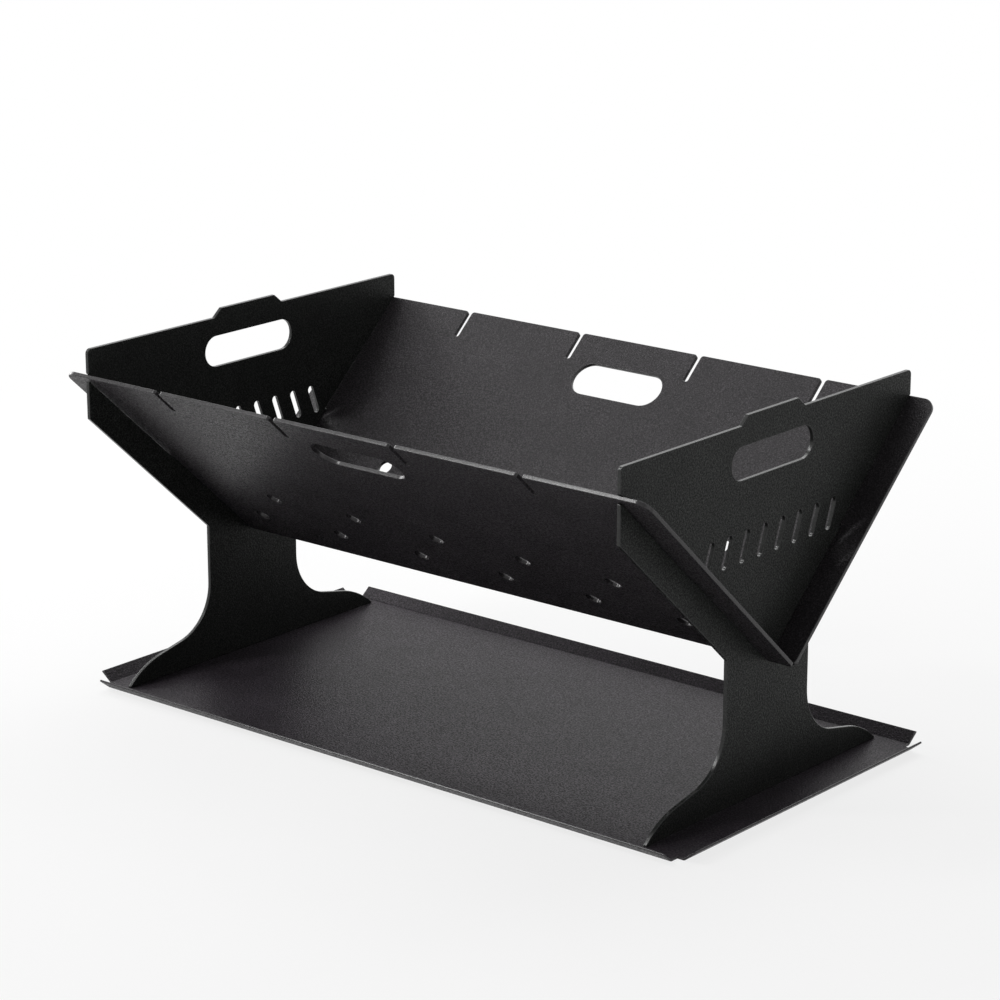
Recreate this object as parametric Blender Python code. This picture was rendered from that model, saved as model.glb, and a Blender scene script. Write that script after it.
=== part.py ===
"""A flat-pack portable fire pit.

Two one-piece end plates stand on a folded ash tray. Two sloping side panels drop into slits in the
plates and make a V-shaped trough. The plates and panels are cut from flat sheet, so each one is an
outline with a thickness. The tray is a notched sheet with four bent lips.
"""

import math

import bmesh
import bpy
from mathutils import Vector

# Sheet and fits: the clearance is on each side of a sheet in its slit
SHEET = 0.0032
TRAY_SHEET = 0.0017
SEAT_GAP = 0.0003
SLIT_CLEARANCE = 0.0005

# Tray, between its bend lines
TRAY_LENGTH = 0.600
TRAY_WIDTH = 0.313
LIP_LENGTH = 0.0134
LIP_ANGLE = math.radians(38)
BEND_RADIUS = 0.0015
BEND_STEPS = 3
NOTCH_ALONG_LENGTH = 0.006
NOTCH_ALONG_WIDTH = 0.0075

# How far the end plates' outer faces stand in from the tray's bend lines, and the panels run past them
LEFT_INSET = 0.0214
RIGHT_INSET = 0.0344
PANEL_OVERHANG = 0.0241

# End plates, with heights from the soles of the feet
PLATE_WIDTH = 0.3688
PLATE_HEIGHT = 0.2964
PLATE_TOP_RADIUS = 0.004
PLATE_CORNER_RADIUS = 0.001
NECK_WIDTH = 0.106
FLANGE_BELOW_PANEL = 0.0243
SLIT_DEPTH = 0.122
SLIT_MOUTH_RADIUS = 0.0012
TAB_BASE = 0.081
TAB_TOP = 0.0636
TAB_HEIGHT = 0.0072
TAB_RADIUS = 0.0015

# Feet
FOOT_WIDTH = 0.2986
TOE_HEIGHT = 0.0008
TOE_RADIUS = 0.077
INSTEP_HEIGHT = 0.0327
INSTEP_RADIUS = 0.044
INSTEP_FALL = math.radians(12)

# Handle slot and vents in an end plate
HANDLE_LENGTH = 0.104
HANDLE_WIDTH = 0.026
HANDLE_BELOW_TOP = 0.0287
PLATE_VENT_COUNT = 8
PLATE_VENT_PITCH = 0.0223
PLATE_VENT_LENGTH = 0.026
PLATE_VENT_WIDTH = 0.0065
PLATE_VENT_LEAN = math.radians(20)
PLATE_VENT_BELOW_TOP = 0.0934

# Side panels: how far their outer faces pass below an end plate's upper corners, and their shape
SLOPE = math.radians(42.4)
PANEL_BELOW_CORNER = 0.0251
PANEL_GAP = 0.0004
PANEL_WIDTH = 0.249
PANEL_TOP_RADIUS = 0.0105
PANEL_FOOT_RADIUS = 0.003
PANEL_MOUTH_RADIUS = 0.002
FEATURE_SHIFT = -0.005
HAND_HOLE_LENGTH = 0.090
HAND_HOLE_WIDTH = 0.031
HAND_HOLE_BELOW_TOP = 0.0427
TOP_SLOT_COUNT = 4
TOP_SLOT_PITCH = 0.1235
TOP_SLOT_WIDTH = 0.0044
TOP_SLOT_DEPTH = 0.027
TOP_SLOT_MOUTH_RADIUS = 0.0025
TOP_SLOT_END_RADIUS = 0.0018
VENT_RADIUS = 0.0065
VENT_PITCH = 0.0884
VENT_ROWS = ((0.0828, 5), (0.0388, 6))

# How far a facet may lie inside the arc that it stands for
ARC_SAG = 0.00006

# Powder coat by kind of part: linear colour, roughness
COATS = {
    "tray": ((0.036, 0.036, 0.037), 0.62),
    "plate": ((0.030, 0.032, 0.032), 0.60),
    "panel": ((0.031, 0.030, 0.032), 0.60),
}

PLATE_SPACING = TRAY_LENGTH - LEFT_INSET - RIGHT_INSET
PIT_SHIFT_X = (LEFT_INSET - RIGHT_INSET) / 2
PANEL_LENGTH = PLATE_SPACING + 2 * PANEL_OVERHANG
FOOT_LEVEL = TRAY_SHEET + SEAT_GAP
APEX_HEIGHT = PLATE_HEIGHT - PANEL_BELOW_CORNER - PLATE_WIDTH / 2 * math.tan(SLOPE)
UP_SLOPE = Vector((math.cos(SLOPE), math.sin(SLOPE)))
OFF_SLOPE = Vector((-math.sin(SLOPE), math.cos(SLOPE)))
PANEL_START = (SHEET * math.sin(SLOPE) + PANEL_GAP / 2) / math.cos(SLOPE)
SLIT_END = PLATE_WIDTH / 2 / math.cos(SLOPE) - SLIT_DEPTH


def arc(centre, radius, start, sweep):
    """Points along an arc, both ends included."""
    widest_step = 2 * math.acos(1 - min(1, ARC_SAG / radius))
    steps = max(2, math.ceil(abs(sweep) / widest_step))
    angles = [start + sweep * step / steps for step in range(steps + 1)]
    return [centre + radius * Vector((math.cos(a), math.sin(a))) for a in angles]


def fillet(before, corner, after, radius):
    """The points that round one corner of an outline, or the corner alone where it is sharp."""
    if radius == 0:
        return [corner]
    to_before = (before - corner).normalized()
    to_after = (after - corner).normalized()
    half = to_before.angle(to_after) / 2
    setback = radius / math.tan(half)
    centre = corner + (to_before + to_after).normalized() * radius / math.sin(half)
    first = corner + to_before * setback - centre
    last = corner + to_after * setback - centre
    start = math.atan2(first.y, first.x)
    sweep = math.remainder(math.atan2(last.y, last.x) - start, 2 * math.pi)
    return arc(centre, radius, start, sweep)


def rounded(corners):
    """A closed outline from corners given as (point, radius)."""
    outline = []
    for index, (corner, radius) in enumerate(corners):
        before = corners[index - 1][0]
        after = corners[(index + 1) % len(corners)][0]
        outline += fillet(before, corner, after, radius)
    return outline


def circle(centre, radius):
    """A round hole."""
    return arc(centre, radius, 0, 2 * math.pi)[:-1]


def obround(centre, length, width, tilt=0.0):
    """A slot with round ends, its length turned by tilt from the first axis."""
    reach = (length - width) / 2 * Vector((math.cos(tilt), math.sin(tilt)))
    quarter = math.pi / 2
    far_end = arc(centre + reach, width / 2, tilt - quarter, math.pi)
    near_end = arc(centre - reach, width / 2, tilt + quarter, math.pi)
    return far_end + near_end


def spread(count, pitch, middle=0.0):
    """Evenly pitched places about a middle."""
    return [middle + pitch * (index - (count - 1) / 2) for index in range(count)]


def add_loop(mesh, outline):
    """A closed ring of edges in the sheet's outer face."""
    ring = [mesh.verts.new((point.x, point.y, 0)) for point in outline]
    return [mesh.edges.new((ring[index - 1], ring[index])) for index in range(len(ring))]


def coat(name, kind):
    """The powder coat of one part."""
    colour, roughness = COATS[kind]
    material = bpy.data.materials.new(name + "_coat")
    material.use_nodes = True
    shader = material.node_tree.nodes["Principled BSDF"]
    shader.inputs["Base Color"].default_value = (*colour, 1)
    shader.inputs["Roughness"].default_value = roughness
    shader.inputs["Metallic"].default_value = 0.0
    return material


def add_part(name, mesh, kind):
    """A named object with its own coat, from a finished bmesh."""
    data = bpy.data.meshes.new(name)
    mesh.to_mesh(data)
    mesh.free()
    data.materials.append(coat(name, kind))
    data.shade_smooth()
    data.set_sharp_from_angle(angle=math.radians(35))
    part = bpy.data.objects.new(name, data)
    bpy.context.scene.collection.objects.link(part)
    return part


def cut_sheet(name, outlines, kind):
    """A flat sheet with its outer face at z = 0: the first outline is its edge, the rest are holes."""
    mesh = bmesh.new()
    edges = [edge for outline in outlines for edge in add_loop(mesh, outline)]
    filled = bmesh.ops.triangle_fill(mesh, use_beauty=True, edges=edges)
    faces = [item for item in filled["geom"] if isinstance(item, bmesh.types.BMFace)]
    back = bmesh.ops.extrude_face_region(mesh, geom=faces, use_keep_orig=True)
    moved = [item for item in back["geom"] if isinstance(item, bmesh.types.BMVert)]
    bmesh.ops.translate(mesh, verts=moved, vec=(0, 0, -SHEET))
    bmesh.ops.recalc_face_normals(mesh, faces=mesh.faces)
    return add_part(name, mesh, kind)


def slope_point(along, above):
    """A point across an end plate, by its distance up the panel's slope and above its outer face."""
    return Vector((0, APEX_HEIGHT)) + along * UP_SLOPE + above * OFF_SLOPE


def slope_height(across, above):
    """The height at which a line parallel to the panel passes a distance across the plate."""
    return APEX_HEIGHT + across * math.tan(SLOPE) + above / math.cos(SLOPE)


def toe_corner():
    """The corner that the toe's curve rounds off, on the line that falls along the top of the foot."""
    fall = Vector((math.cos(INSTEP_FALL), -math.sin(INSTEP_FALL)))
    below = Vector((-math.sin(INSTEP_FALL), -math.cos(INSTEP_FALL)))
    instep = Vector((NECK_WIDTH / 2, INSTEP_HEIGHT))
    toe = Vector((FOOT_WIDTH / 2, TOE_HEIGHT)) - instep
    turn = math.acos(1 - toe.dot(below) / TOE_RADIUS)
    run = toe.dot(fall) - TOE_RADIUS * math.sin(turn) + TOE_RADIUS * math.tan(turn / 2)
    return instep + run * fall


def plate_half():
    """The corners of one half of an end plate, from the sole of its foot to the top of its tab."""
    edge = PLATE_WIDTH / 2
    neck = NECK_WIDTH / 2
    slit_low = -SLIT_CLEARANCE
    slit_high = SHEET + SLIT_CLEARANCE
    return [
        (Vector((FOOT_WIDTH / 2, 0)), 0),
        (Vector((FOOT_WIDTH / 2, TOE_HEIGHT)), 0),
        (toe_corner(), TOE_RADIUS),
        (Vector((neck, INSTEP_HEIGHT)), INSTEP_RADIUS),
        (Vector((neck, slope_height(neck, -FLANGE_BELOW_PANEL))), PLATE_CORNER_RADIUS),
        (Vector((edge, slope_height(edge, -FLANGE_BELOW_PANEL))), PLATE_CORNER_RADIUS),
        (Vector((edge, slope_height(edge, slit_low))), SLIT_MOUTH_RADIUS),
        (slope_point(SLIT_END, slit_low), 0),
        (slope_point(SLIT_END, slit_high), 0),
        (Vector((edge, slope_height(edge, slit_high))), SLIT_MOUTH_RADIUS),
        (Vector((edge, PLATE_HEIGHT)), PLATE_TOP_RADIUS),
        (Vector((TAB_BASE / 2, PLATE_HEIGHT)), TAB_RADIUS),
        (Vector((TAB_TOP / 2, PLATE_HEIGHT + TAB_HEIGHT)), TAB_RADIUS),
    ]


def plate_outlines():
    """An end plate's edge, its handle slot and its row of leaning vents."""
    half = plate_half()
    mirrored = [(Vector((-point.x, point.y)), radius) for point, radius in reversed(half)]
    handle_height = PLATE_HEIGHT - HANDLE_BELOW_TOP
    handle = obround(Vector((0, handle_height)), HANDLE_LENGTH, HANDLE_WIDTH)
    vents = []
    for across in spread(PLATE_VENT_COUNT, PLATE_VENT_PITCH):
        centre = Vector((across, PLATE_HEIGHT - PLATE_VENT_BELOW_TOP))
        tilt = math.pi / 2 - PLATE_VENT_LEAN
        vents.append(obround(centre, PLATE_VENT_LENGTH, PLATE_VENT_WIDTH, tilt))
    return [rounded(half + mirrored), handle, *vents]


def notch(middle, width, base, end, mouth_radius, end_radius):
    """The corners of a notch in a panel's edge, taken from its far side to its near side."""
    low = middle - width / 2
    high = middle + width / 2
    return [
        (Vector((high, base)), mouth_radius),
        (Vector((high, end)), end_radius),
        (Vector((low, end)), end_radius),
        (Vector((low, base)), mouth_radius),
    ]


def panel_edge():
    """A side panel's edge: two slits from its bottom edge and narrow slots from its top edge."""
    half = PANEL_LENGTH / 2
    slit_width = SHEET + 2 * SLIT_CLEARANCE
    slit_end = SLIT_END + SEAT_GAP - PANEL_START
    corners = [(Vector((half, 0)), PANEL_FOOT_RADIUS)]
    for middle in (PLATE_SPACING / 2 - SHEET / 2, SHEET / 2 - PLATE_SPACING / 2):
        corners += notch(middle, slit_width, 0, slit_end, PANEL_MOUTH_RADIUS, 0)
    corners += [
        (Vector((-half, 0)), PANEL_FOOT_RADIUS),
        (Vector((-half, PANEL_WIDTH)), PANEL_TOP_RADIUS),
    ]
    slot_end = PANEL_WIDTH - TOP_SLOT_DEPTH
    for middle in spread(TOP_SLOT_COUNT, TOP_SLOT_PITCH, FEATURE_SHIFT):
        mouth_radius = TOP_SLOT_MOUTH_RADIUS
        slot = notch(middle, TOP_SLOT_WIDTH, PANEL_WIDTH, slot_end, mouth_radius, TOP_SLOT_END_RADIUS)
        corners += reversed(slot)
    corners.append((Vector((half, PANEL_WIDTH)), PANEL_TOP_RADIUS))
    return rounded(corners)


def panel_outlines():
    """A side panel's edge, its hand-hole and its rows of round vents."""
    hand_hole = Vector((FEATURE_SHIFT, PANEL_WIDTH - HAND_HOLE_BELOW_TOP))
    holes = [obround(hand_hole, HAND_HOLE_LENGTH, HAND_HOLE_WIDTH)]
    for height, count in VENT_ROWS:
        places = spread(count, VENT_PITCH, FEATURE_SHIFT)
        holes += [circle(Vector((along, height)), VENT_RADIUS) for along in places]
    return [panel_edge(), *holes]


def add_end_plate(name, side):
    """An end plate with its outer face outward. Side is 1 at the +X end and -1 at the -X end."""
    plate = cut_sheet(name, plate_outlines(), "plate")
    plate.location = (PIT_SHIFT_X + side * PLATE_SPACING / 2, 0, FOOT_LEVEL)
    plate.rotation_euler = (math.pi / 2, 0, side * math.pi / 2)


def add_side_panel(name, side):
    """A side panel on its slope. Side is -1 at the front, where Y is negative, and 1 at the rear."""
    panel = cut_sheet(name, panel_outlines(), "panel")
    foot = slope_point(PANEL_START, 0)
    panel.location = (PIT_SHIFT_X, side * foot.x, FOOT_LEVEL + foot.y)
    panel.rotation_euler = (math.pi - SLOPE, 0, math.pi if side > 0 else 0)


def lip_profile(setback):
    """A lip's underside as (run beyond the bend line, rise), from the bend's start to the tip."""
    radius = BEND_RADIUS + TRAY_SHEET
    profile = []
    for step in range(1, BEND_STEPS + 1):
        turn = LIP_ANGLE * step / BEND_STEPS
        profile.append((radius * math.sin(turn) - setback, radius * (1 - math.cos(turn))))
    profile.append((LIP_LENGTH * math.cos(LIP_ANGLE), LIP_LENGTH * math.sin(LIP_ANGLE)))
    return profile


def lip_row(side, run, rise):
    """The two ends of a line along one side of the tray, at a run beyond that side's bend line."""
    half_length = TRAY_LENGTH / 2
    half_width = TRAY_WIDTH / 2
    if side % 2 == 0:
        reach = half_width - NOTCH_ALONG_WIDTH
        ends = [Vector((half_length + run, along, rise)) for along in (-reach, reach)]
    else:
        reach = half_length - NOTCH_ALONG_LENGTH
        ends = [Vector((along, half_width + run, rise)) for along in (reach, -reach)]
    turned = 1 if side < 2 else -1
    return [Vector((turned * end.x, turned * end.y, end.z)) for end in ends]


def notch_corner(side):
    """The inner corner of the notch that follows one side of the tray, going round it."""
    x = TRAY_LENGTH / 2 - NOTCH_ALONG_LENGTH
    y = TRAY_WIDTH / 2 - NOTCH_ALONG_WIDTH
    signs = ((1, 1), (-1, 1), (-1, -1), (1, -1))[side]
    return Vector((signs[0] * x, signs[1] * y, 0))


def add_tray(name):
    """The ash tray: its underside as a surface with four bent lips, thickened upward."""
    setback = (BEND_RADIUS + TRAY_SHEET) * math.tan(LIP_ANGLE / 2)
    mesh = bmesh.new()
    floor = []
    rows = []
    for side in range(4):
        row = [mesh.verts.new(end) for end in lip_row(side, -setback, 0)]
        rows.append(row)
        floor += [*row, mesh.verts.new(notch_corner(side))]
    mesh.faces.new(floor)
    for side, row in enumerate(rows):
        for run, rise in lip_profile(setback):
            following = [mesh.verts.new(end) for end in lip_row(side, run, rise)]
            mesh.faces.new((row[0], following[0], following[1], row[1]))
            row = following
    tray = add_part(name, mesh, "tray")
    thickness = tray.modifiers.new("sheet", "SOLIDIFY")
    thickness.thickness = TRAY_SHEET
    thickness.offset = 1
    thickness.use_even_offset = True


def main():
    """Clears the scene and builds the five sheets."""
    for thing in list(bpy.data.objects):
        bpy.data.objects.remove(thing)
    add_tray("base_tray")
    add_end_plate("left_end_plate", -1)
    add_end_plate("right_end_plate", 1)
    add_side_panel("front_side_panel", -1)
    add_side_panel("rear_side_panel", 1)


main()
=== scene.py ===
"""The look of a flat-pack fire pit: five powder-coated steel sheets in a plain studio.

Each flat sheet is rebuilt from the outline of its solid, with the soft edges that a coat leaves on a
cut sheet. The tray is a flat pattern that is folded up along its four sides.
"""

import math

import bmesh
import bpy
from mathutils import Matrix, Vector
from mathutils.geometry import delaunay_2d_cdt, intersect_line_line_2d


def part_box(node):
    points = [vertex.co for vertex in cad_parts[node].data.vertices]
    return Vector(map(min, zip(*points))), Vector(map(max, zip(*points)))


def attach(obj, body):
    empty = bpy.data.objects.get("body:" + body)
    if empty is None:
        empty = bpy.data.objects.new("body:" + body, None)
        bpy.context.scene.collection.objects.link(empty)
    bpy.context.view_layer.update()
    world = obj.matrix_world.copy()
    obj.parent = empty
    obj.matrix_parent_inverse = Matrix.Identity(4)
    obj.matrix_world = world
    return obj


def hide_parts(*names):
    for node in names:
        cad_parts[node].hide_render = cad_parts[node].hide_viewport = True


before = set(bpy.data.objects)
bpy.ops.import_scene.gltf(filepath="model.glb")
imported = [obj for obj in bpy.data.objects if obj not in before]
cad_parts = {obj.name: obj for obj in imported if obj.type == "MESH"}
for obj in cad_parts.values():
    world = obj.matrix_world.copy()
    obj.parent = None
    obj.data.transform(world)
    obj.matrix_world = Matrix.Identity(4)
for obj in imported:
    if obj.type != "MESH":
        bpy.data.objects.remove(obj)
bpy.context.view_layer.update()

# Camera: its place, the direction from the object to it, and its lens and sensor in millimetres
CAMERA_PLACE = Vector((1.63285, -1.94634, 0.92653))
CAMERA_AZIMUTH = math.radians(39.984)
CAMERA_ELEVATION = math.radians(16.307)
CAMERA_LENS = 119.17
SENSOR_WIDTH = 36.0
CLIP_END = 100.0

# Rounded edges of a coated sheet, and the angle from which a corner stays sharp
EDGE_RADIUS = 0.00045
EDGE_STEPS = 3
SHARP_ANGLE = math.radians(35)

# Two normals belong to the same flat face if their product is above this
SAME_FACE = 0.95

# How the triangles of a flat face are made: inside the outline but not in its holes
INSIDE_WITH_HOLES = 2
MERGE_DISTANCE = 1e-7

# Tray: its sheet, the lips, their bends, and the notches between the lips
TRAY_SHEET = 0.0017
LIP_LENGTH = 0.0134
LIP_ANGLE = math.radians(38)
BEND_RADIUS = 0.0015
BEND_STEPS = 5
LIP_COLUMN = 0.05
NOTCH_ALONG_LENGTH = 0.006
NOTCH_ALONG_WIDTH = 0.0075

# Which way each flat sheet's outer face looks, the body it rides on and its slot
SHEETS = {
    "right_end_plate": (Vector((1, 0, 0)), "end_plates", "plate_coat"),
    "left_end_plate": (Vector((-1, 0, 0)), "end_plates", "plate_coat"),
    "front_side_panel": (Vector((0, -0.7, -0.7)), "front_panel", "panel_coat"),
    "rear_side_panel": (Vector((0, 0.7, -0.7)), "rear_panel", "panel_coat"),
}

# Powder coat in each slot: the colour and the specular level of its flat faces
COATS = {
    "tray_coat": ((0.0255, 0.0214, 0.0260), 0.09),
    "plate_coat": ((0.0265, 0.0280, 0.0266), 0.09),
    "panel_coat": ((0.0314, 0.0285, 0.0314), 0.16),
}

# On the cut edges: how much of that colour is left, and the specular level
EDGE_COLOUR = 0.8
EDGE_SPECULAR = 0.34

# Noises of the coat: features per metre, and how many finer layers they have
NOISES = {
    "pepper": (700, 1),
    "grain": (1100, 0),
    "cloud": (24, 3),
    "rub": (95, 2),
}

# The stretch of a noise's values that the coat uses
NOISE_LOW = 0.38
NOISE_HIGH = 0.62

# Relief of the coat: an orange peel that follows the pepper, and the grain on it
PEEL_DEPTH = 0.0003
GRAIN_DEPTH = 0.00006

# How strongly each noise varies the colour, the least and the greatest roughness, and how much of the
# relief is left. On the cut edges the coat is thin and smooth.
FACE_FINISH = {
    "pepper": 1.2,
    "grain": 1.0,
    "cloud": 0.22,
    "rub": 0.0,
    "roughness": (0.3, 0.54),
    "relief": 1.0,
}
EDGE_FINISH = {
    "pepper": 0.5,
    "grain": 0.3,
    "cloud": 0.1,
    "rub": 0.5,
    "roughness": (0.2, 0.26),
    "relief": 0.12,
}

# Places of the two coats in a piece's list of materials
FACE_COAT = 0
EDGE_COAT = 1

# The walls of a gap narrower than this have the coat of the flat faces
NARROW_GAP = 0.005

# Backdrop: its brightness where it is seen, and as a light from all round
BACKDROP = 1.0
AMBIENT = 0.02

# Floor: its share of plain white near the object, which grows to the whole between two distances
FLOOR_COLOUR = (0.8, 0.8, 0.8, 1)
FLOOR_SIZE = 24.0
FLOOR_GAP = 0.0003
FLOOR_WHITE = 0.8
FLOOR_FADE_START = 0.6
FLOOR_FADE_END = 1.2

# Soft boxes: degrees round from the front to the right, degrees up, width, height and watts
LAMPS = {
    "key": (314, 43, 0.3, 1.3, 22),
    "low_left": (270, 18, 1.4, 1.4, 38),
    "behind": (180, 45, 1.4, 1.4, 19),
    "behind_left": (225, 45, 1.4, 1.4, 15),
    "top": (225, 70, 1.4, 1.4, 12),
    "low_right": (90, 18, 1.4, 1.4, 4),
}
LAMP_AIM = Vector((0, 0, 0.15))
LAMP_DISTANCE = 2.4


def outer_normal(node, hint):
    """The normal of the node's large flat face that looks roughly along hint."""
    total = Vector()
    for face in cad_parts[node].data.polygons:
        if face.normal.dot(hint.normalized()) > SAME_FACE:
            total += face.area * face.normal
    return total.normalized()


def face_outlines(node, normal):
    """The closed outlines of the node's face that looks along normal, with the sheet on their left."""
    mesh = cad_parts[node].data
    edges = set()
    for face in mesh.polygons:
        if face.normal.dot(normal) > SAME_FACE:
            corners = [tuple(mesh.vertices[index].co) for index in face.vertices]
            edges.update(zip(corners, corners[1:] + corners[:1]))
    following = {start: end for start, end in edges if (end, start) not in edges}
    outlines = []
    while following:
        outline = []
        point = min(following)
        while point in following:
            outline.append(Vector(point))
            point = following.pop(point)
        outlines.append(outline)
    return outlines


def inset(outline, distance):
    """A flat outline moved into its sheet by a distance, with mitred corners."""
    moved = []
    for index, point in enumerate(outline):
        arriving = (point - outline[index - 1]).normalized()
        leaving = (outline[(index + 1) % len(outline)] - point).normalized()
        inward = Vector((-arriving.y - leaving.y, arriving.x + leaving.x))
        moved.append(point + inward * 2 * distance / inward.length_squared)
    return moved


def in_gap(outline, index):
    """Whether the outline's stretch that ends at index looks across a narrow gap at another stretch."""
    start = outline[index - 1]
    end = outline[index]
    middle = (start + end) / 2
    outward = Vector((end.y - start.y, start.x - end.x)).normalized()
    across = middle + NARROW_GAP * outward
    others = [other for other in range(len(outline)) if other != index]
    return any(intersect_line_line_2d(middle, across, outline[i - 1], outline[i]) for i in others)


def edge_sections(thickness):
    """The rounded edge's section from front face to back face, as (distance in, depth)."""
    quarter = []
    for step in range(EDGE_STEPS + 1):
        turn = math.pi / 2 * step / EDGE_STEPS
        quarter.append((EDGE_RADIUS * (1 - math.sin(turn)), EDGE_RADIUS * (1 - math.cos(turn))))
    back = [(distance, thickness - depth) for distance, depth in reversed(quarter)]
    return quarter + back


def add_edge(mesh, outline, rings):
    """The cut edge along one outline, between rings of verts that run from face to face."""
    coats = [FACE_COAT if in_gap(outline, index) else EDGE_COAT for index in range(len(outline))]
    for upper, lower in zip(rings, rings[1:]):
        for index, coat in enumerate(coats):
            quad = (upper[index - 1], lower[index - 1], lower[index], upper[index])
            mesh.faces.new(quad).material_index = coat


def face_pattern(outlines, chains):
    """The flat points of a face, the cuts between them, and the region inside each outline."""
    points = []
    cuts = []
    regions = []
    for outline in outlines:
        regions.append(list(range(len(points), len(points) + len(outline))))
        points += inset(outline, EDGE_RADIUS)
    for chain in chains:
        numbers = []
        for item in chain:
            if not isinstance(item, int):
                points.append(item)
            numbers.append(item if isinstance(item, int) else len(points) - 1)
        cuts += zip(numbers, numbers[1:])
    return points, cuts, regions


def add_face(mesh, pattern, verts, upward):
    """A flat face of triangles, on verts that stand at the pattern's points."""
    _, _, triangles, origins, _, _ = delaunay_2d_cdt(*pattern, INSIDE_WITH_HOLES, MERGE_DISTANCE)
    for triangle in triangles:
        corners = [verts[origins[index][0]] for index in triangle]
        mesh.faces.new(corners if upward else reversed(corners))


def add_piece(name, mesh):
    """A named object from a finished bmesh, smooth but for its real corners."""
    loose = [vert for vert in mesh.verts if not vert.link_faces]
    bmesh.ops.delete(mesh, geom=loose, context="VERTS")
    data = bpy.data.meshes.new(name)
    mesh.to_mesh(data)
    mesh.free()
    data.shade_smooth()
    data.set_sharp_from_angle(angle=SHARP_ANGLE)
    piece = bpy.data.objects.new(name, data)
    bpy.context.scene.collection.objects.link(piece)
    weighted = piece.modifiers.new("flat faces", "WEIGHTED_NORMAL")
    weighted.keep_sharp = True
    return piece


def rounded_sheet(name, outlines, thickness, place, chains=()):
    """A sheet with rounded edges. place puts a flat point, at a depth from the front, into space.

    chains are lists of flat points that the faces are cut along. A number stands for a point of the
    first outline.
    """
    mesh = bmesh.new()
    rings = []
    for outline in outlines:
        moved = [(inset(outline, distance), depth) for distance, depth in edge_sections(thickness)]
        rings.append([[mesh.verts.new(place(p, depth)) for p in ring] for ring, depth in moved])
        add_edge(mesh, outline, rings[-1])
    pattern = face_pattern(outlines, chains)
    border = sum(len(outline) for outline in outlines)
    for level, depth in ((0, 0), (-1, thickness)):
        verts = [vert for levels in rings for vert in levels[level]]
        verts += [mesh.verts.new(place(point, depth)) for point in pattern[0][border:]]
        add_face(mesh, pattern, verts, level == 0)
    return add_piece(name, mesh)


def flat_piece(node, hint):
    """The rounded sheet that stands for one flat node."""
    normal = outer_normal(node, hint)
    across = Vector((0, 0, 1)).cross(normal).normalized()
    up = normal.cross(across)
    loops = face_outlines(node, normal)
    origin = loops[0][0]
    heights = [(v.co - origin).dot(normal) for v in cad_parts[node].data.vertices]
    thickness = max(heights) - min(heights)

    def flatten(point):
        offset = point - origin
        return Vector((offset.dot(across), offset.dot(up)))

    def place(point, depth):
        return origin + point.x * across + point.y * up - depth * normal

    outlines = [[flatten(point) for point in loop] for loop in loops]
    return rounded_sheet(node + "_sheet", outlines, thickness, place)


def tray_sides():
    """Each side of the tray as (outward, along, bend line's distance, notch corner's distance, reach)."""
    half_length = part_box("base_tray")[1].x - LIP_LENGTH * math.cos(LIP_ANGLE)
    half_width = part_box("base_tray")[1].y - LIP_LENGTH * math.cos(LIP_ANGLE)
    length_notch = half_length - NOTCH_ALONG_LENGTH
    width_notch = half_width - NOTCH_ALONG_WIDTH
    sides = []
    for outward in (Vector((1, 0)), Vector((0, 1)), Vector((-1, 0)), Vector((0, -1))):
        along = Vector((-outward.y, outward.x))
        if outward.x:
            sides.append((outward, along, half_length, length_notch, width_notch))
        else:
            sides.append((outward, along, half_width, width_notch, length_notch))
    return sides


def tray_piece():
    """The tray, from its flat pattern: the lips fold up, and chains of points run along each bend."""
    radius = BEND_RADIUS + TRAY_SHEET
    setback = radius * math.tan(LIP_ANGLE / 2)
    bend = radius * LIP_ANGLE
    rows = [bend * step / BEND_STEPS for step in range(BEND_STEPS + 1)]
    tip = bend + LIP_LENGTH - setback
    sides = tray_sides()
    outline = []
    chains = []
    for outward, along, half, notch, reach in sides:
        start = (half - setback) * outward
        count = math.ceil(2 * reach / LIP_COLUMN)
        columns = [2 * reach * step / count - reach for step in range(1, count)]
        first = len(outline)
        outline += [start + run * outward - reach * along for run in (*rows, tip)]
        outline += [start + tip * outward + column * along for column in columns]
        outline += [start + run * outward + reach * along for run in (tip, *reversed(rows))]
        last = len(outline) - 1
        outline.append(notch * outward + reach * along)
        for row, run in enumerate(rows):
            inner = [start + run * outward + column * along for column in columns]
            chains.append([first + row, *inner, last - row])

    def fold(point, depth):
        height = TRAY_SHEET - depth
        for outward, along, half, _, _ in sides:
            run = point.dot(outward) - (half - setback)
            if run <= 0:
                continue
            turn = LIP_ANGLE * min(1, run / bend)
            rest = max(0, run - bend)
            reached = half - setback + radius * math.sin(turn) + rest * math.cos(turn)
            rise = radius * (1 - math.cos(turn)) + rest * math.sin(turn) + height * math.cos(turn)
            flat = (reached - height * math.sin(turn)) * outward + point.dot(along) * along
            return Vector((flat.x, flat.y, rise))
        return Vector((point.x, point.y, height))

    return rounded_sheet("base_tray_sheet", [outline], TRAY_SHEET, fold, chains)


def noise(material, scale, detail):
    """A noise texture fixed to the piece, from 0 to 1."""
    nodes = material.node_tree.nodes
    place = nodes.get("Texture Coordinate") or nodes.new("ShaderNodeTexCoord")
    texture = nodes.new("ShaderNodeTexNoise")
    texture.inputs["Scale"].default_value = scale
    texture.inputs["Detail"].default_value = detail
    material.node_tree.links.new(place.outputs["Object"], texture.inputs["Vector"])
    return texture.outputs["Fac"]


def ranged(material, value, low, high):
    """A value that runs from low to high over most of the range of a noise."""
    node = material.node_tree.nodes.new("ShaderNodeMapRange")
    node.inputs["From Min"].default_value = NOISE_LOW
    node.inputs["From Max"].default_value = NOISE_HIGH
    node.inputs["To Min"].default_value = low
    node.inputs["To Max"].default_value = high
    material.node_tree.links.new(value, node.inputs["Value"])
    return node.outputs["Result"]


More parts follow.
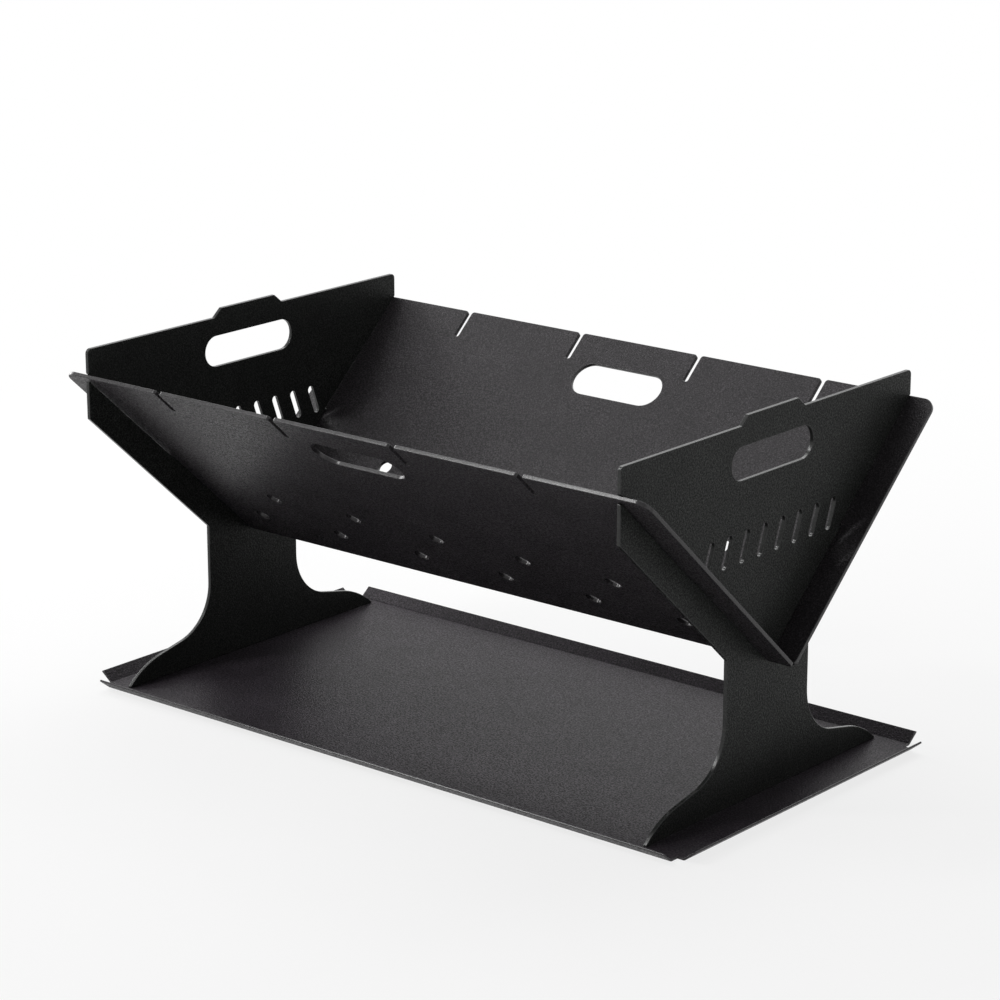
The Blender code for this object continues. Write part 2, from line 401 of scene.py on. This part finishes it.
def product(material, first, second):
    """Two values multiplied."""
    node = material.node_tree.nodes.new("ShaderNodeMath")
    node.operation = "MULTIPLY"
    material.node_tree.links.new(first, node.inputs[0])
    material.node_tree.links.new(second, node.inputs[1])
    return node.outputs["Value"]


def bump(material, height, depth, below=None):
    """Relief of a height map, over the relief below it."""
    node = material.node_tree.nodes.new("ShaderNodeBump")
    node.inputs["Distance"].default_value = depth
    material.node_tree.links.new(height, node.inputs["Height"])
    if below:
        material.node_tree.links.new(below, node.inputs["Normal"])
    return node.outputs["Normal"]


def powder_coat(name, colour, specular, finish):
    """Matte black powder coat: peppered, clouded and rubbed, with orange peel."""
    material = bpy.data.materials.new(name)
    material.use_nodes = True
    nodes = material.node_tree.nodes
    links = material.node_tree.links
    shader = nodes["Principled BSDF"]
    shader.inputs["Specular IOR Level"].default_value = specular

    noises = {kind: noise(material, scale, detail) for kind, (scale, detail) in NOISES.items()}
    strength = None
    for kind, value in noises.items():
        varied = ranged(material, value, 1 - finish[kind] / 2, 1 + finish[kind] / 2)
        strength = product(material, strength, varied) if strength else varied
    paint = nodes.new("ShaderNodeVectorMath")
    paint.operation = "SCALE"
    paint.inputs[0].default_value = colour
    links.new(strength, paint.inputs["Scale"])
    links.new(paint.outputs["Vector"], shader.inputs["Base Color"])

    smooth, rough = finish["roughness"]
    links.new(ranged(material, noises["pepper"], rough, smooth), shader.inputs["Roughness"])
    peel = bump(material, noises["pepper"], finish["relief"] * PEEL_DEPTH)
    fine = bump(material, noises["grain"], finish["relief"] * GRAIN_DEPTH, peel)
    links.new(fine, shader.inputs["Normal"])
    return material


def both_coats(slot, colour, specular):
    """A slot's coat on flat faces, and on cut edges."""
    edge_colour = [EDGE_COLOUR * channel for channel in colour]
    return (
        powder_coat(slot + "_faces", colour, specular, FACE_FINISH),
        powder_coat(slot + "_edges", edge_colour, EDGE_SPECULAR, EDGE_FINISH),
    )


def dress(piece, node, body, coats):
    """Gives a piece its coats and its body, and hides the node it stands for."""
    for coat in coats:
        piece.data.materials.append(coat)
    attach(piece, body)
    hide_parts(node)


def direction(azimuth, elevation):
    """The way to a place that is so far round from the front to the right, and so far up."""
    level = math.cos(elevation)
    return Vector((math.sin(azimuth) * level, -math.cos(azimuth) * level, math.sin(elevation)))


def add_camera():
    """The camera, at the photograph's viewing angle."""
    data = bpy.data.cameras.new("camera")
    data.sensor_width = SENSOR_WIDTH
    data.lens = CAMERA_LENS
    data.clip_end = CLIP_END
    camera = bpy.data.objects.new("camera", data)
    back = direction(CAMERA_AZIMUTH, CAMERA_ELEVATION)
    right = Vector((0, 0, 1)).cross(back).normalized()
    up = back.cross(right)
    turned = Matrix((right, up, back)).transposed()
    camera.matrix_world = Matrix.LocRotScale(CAMERA_PLACE, turned, None)
    bpy.context.scene.collection.objects.link(camera)
    bpy.context.scene.camera = camera


def visible_ray(nodes, links):
    """A socket that is 1 for the rays that show the background: camera, glossy and transmission rays."""
    path = nodes.new("ShaderNodeLightPath")
    seen = path.outputs["Is Camera Ray"]
    for name in ("Is Glossy Ray", "Is Transmission Ray"):
        either = nodes.new("ShaderNodeMath")
        either.operation = "MAXIMUM"
        links.new(seen, either.inputs[0])
        links.new(path.outputs[name], either.inputs[1])
        seen = either.outputs["Value"]
    return seen


def add_world():
    """A white background over a plain soft light from all round."""
    world = bpy.data.worlds.new("studio")
    world.use_nodes = True
    nodes = world.node_tree.nodes
    links = world.node_tree.links
    strength = nodes.new("ShaderNodeMix")
    strength.inputs["A"].default_value = AMBIENT
    strength.inputs["B"].default_value = BACKDROP
    links.new(visible_ray(nodes, links), strength.inputs["Factor"])
    links.new(strength.outputs["Result"], nodes["Background"].inputs["Strength"])
    nodes["Background"].inputs["Color"].default_value = (1, 1, 1, 1)
    bpy.context.scene.world = world


def floor_paint():
    """A pale floor that shows nearly white, with the object's shadow on it, and white further out."""
    material = bpy.data.materials.new("floor")
    material.use_nodes = True
    nodes = material.node_tree.nodes
    links = material.node_tree.links
    nodes.clear()
    matte = nodes.new("ShaderNodeBsdfDiffuse")
    matte.inputs["Color"].default_value = FLOOR_COLOUR
    white = nodes.new("ShaderNodeEmission")
    place = nodes.new("ShaderNodeTexCoord")
    distance = nodes.new("ShaderNodeVectorMath")
    distance.operation = "LENGTH"
    links.new(place.outputs["Object"], distance.inputs[0])
    fade = nodes.new("ShaderNodeMapRange")
    fade.inputs["From Min"].default_value = FLOOR_FADE_START
    fade.inputs["From Max"].default_value = FLOOR_FADE_END
    fade.inputs["To Min"].default_value = FLOOR_WHITE
    links.new(distance.outputs["Value"], fade.inputs["Value"])
    blend = nodes.new("ShaderNodeMixShader")
    links.new(product(material, fade.outputs["Result"], visible_ray(nodes, links)), blend.inputs[0])
    links.new(matte.outputs["BSDF"], blend.inputs[1])
    links.new(white.outputs["Emission"], blend.inputs[2])
    output = nodes.new("ShaderNodeOutputMaterial")
    links.new(blend.outputs["Shader"], output.inputs["Surface"])
    return material


def add_floor():
    """The floor that the tray stands on."""
    mesh = bmesh.new()
    bmesh.ops.create_grid(mesh, x_segments=1, y_segments=1, size=FLOOR_SIZE / 2)
    data = bpy.data.meshes.new("floor")
    mesh.to_mesh(data)
    mesh.free()
    data.materials.append(floor_paint())
    floor = bpy.data.objects.new("floor", data)
    floor.location = (0, 0, -FLOOR_GAP)
    bpy.context.scene.collection.objects.link(floor)


def add_lamp(name, azimuth, elevation, width, height, power):
    """A soft box that is aimed at the object."""
    data = bpy.data.lights.new(name, "AREA")
    data.shape = "RECTANGLE"
    data.size = width
    data.size_y = height
    data.energy = power
    lamp = bpy.data.objects.new(name, data)
    back = direction(math.radians(azimuth), math.radians(elevation))
    lamp.location = LAMP_AIM + LAMP_DISTANCE * back
    lamp.rotation_euler = back.to_track_quat("Z", "Y").to_euler()
    bpy.context.scene.collection.objects.link(lamp)


def main():
    """The five sheets, the camera and the studio."""
    coats = {slot: both_coats(slot, *paint) for slot, paint in COATS.items()}
    for node, (hint, body, slot) in SHEETS.items():
        dress(flat_piece(node, hint), node, body, coats[slot])
    dress(tray_piece(), "base_tray", "tray", coats["tray_coat"])
    add_camera()
    add_world()
    add_floor()
    for name, lamp in LAMPS.items():
        add_lamp(name, *lamp)
    bpy.context.scene.view_settings.view_transform = "Standard"


main()
